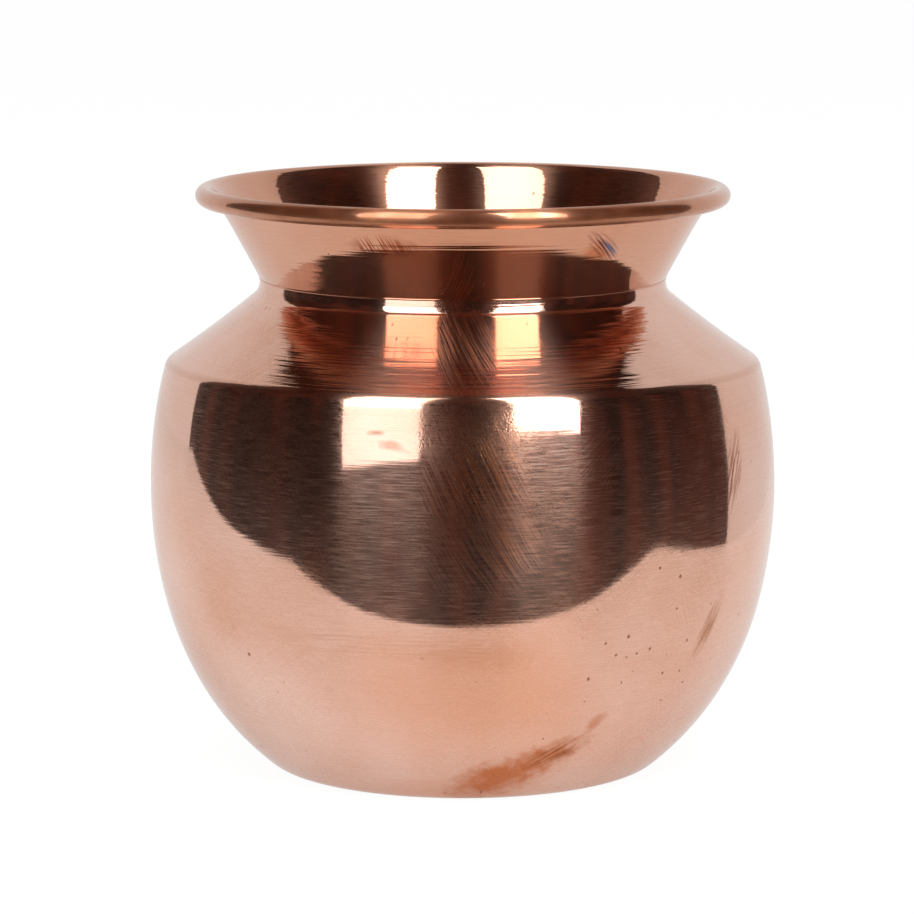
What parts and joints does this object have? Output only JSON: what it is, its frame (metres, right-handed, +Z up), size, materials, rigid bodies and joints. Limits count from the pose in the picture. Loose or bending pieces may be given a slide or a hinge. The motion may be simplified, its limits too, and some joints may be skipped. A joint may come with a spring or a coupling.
{
  "type": "copper kalash",
  "caption": "Round spun copper water pot with a flat base, full belly, sloped shoulder, narrow neck and flared mouth with a wired, beaded rim.",
  "frame": {"origin": "centre of the flat base, on the surface that the pot stands on", "axes": "+Z up along the axis the pot is turned about, -Y towards the viewer of the picture"},
  "size_m": [0.12, 0.12, 0.1118],
  "materials": {
    "bowl_copper": "polished spun copper",
    "shoulder_copper": "polished spun copper",
    "mouth_copper": "polished spun copper",
    "wire_copper": "drawn copper wire",
    "seam_filler": "braze metal as run",
    "neck_filler": "braze metal as run"
  },
  "bodies": {
    "root": {"lower_bowl": "bowl_copper", "shoulder_shell": "shoulder_copper", "mouth_flare": "mouth_copper", "rim_wire": "wire_copper", "seam_braze": "seam_filler", "neck_braze": "neck_filler"}
  },
  "joints": []
}
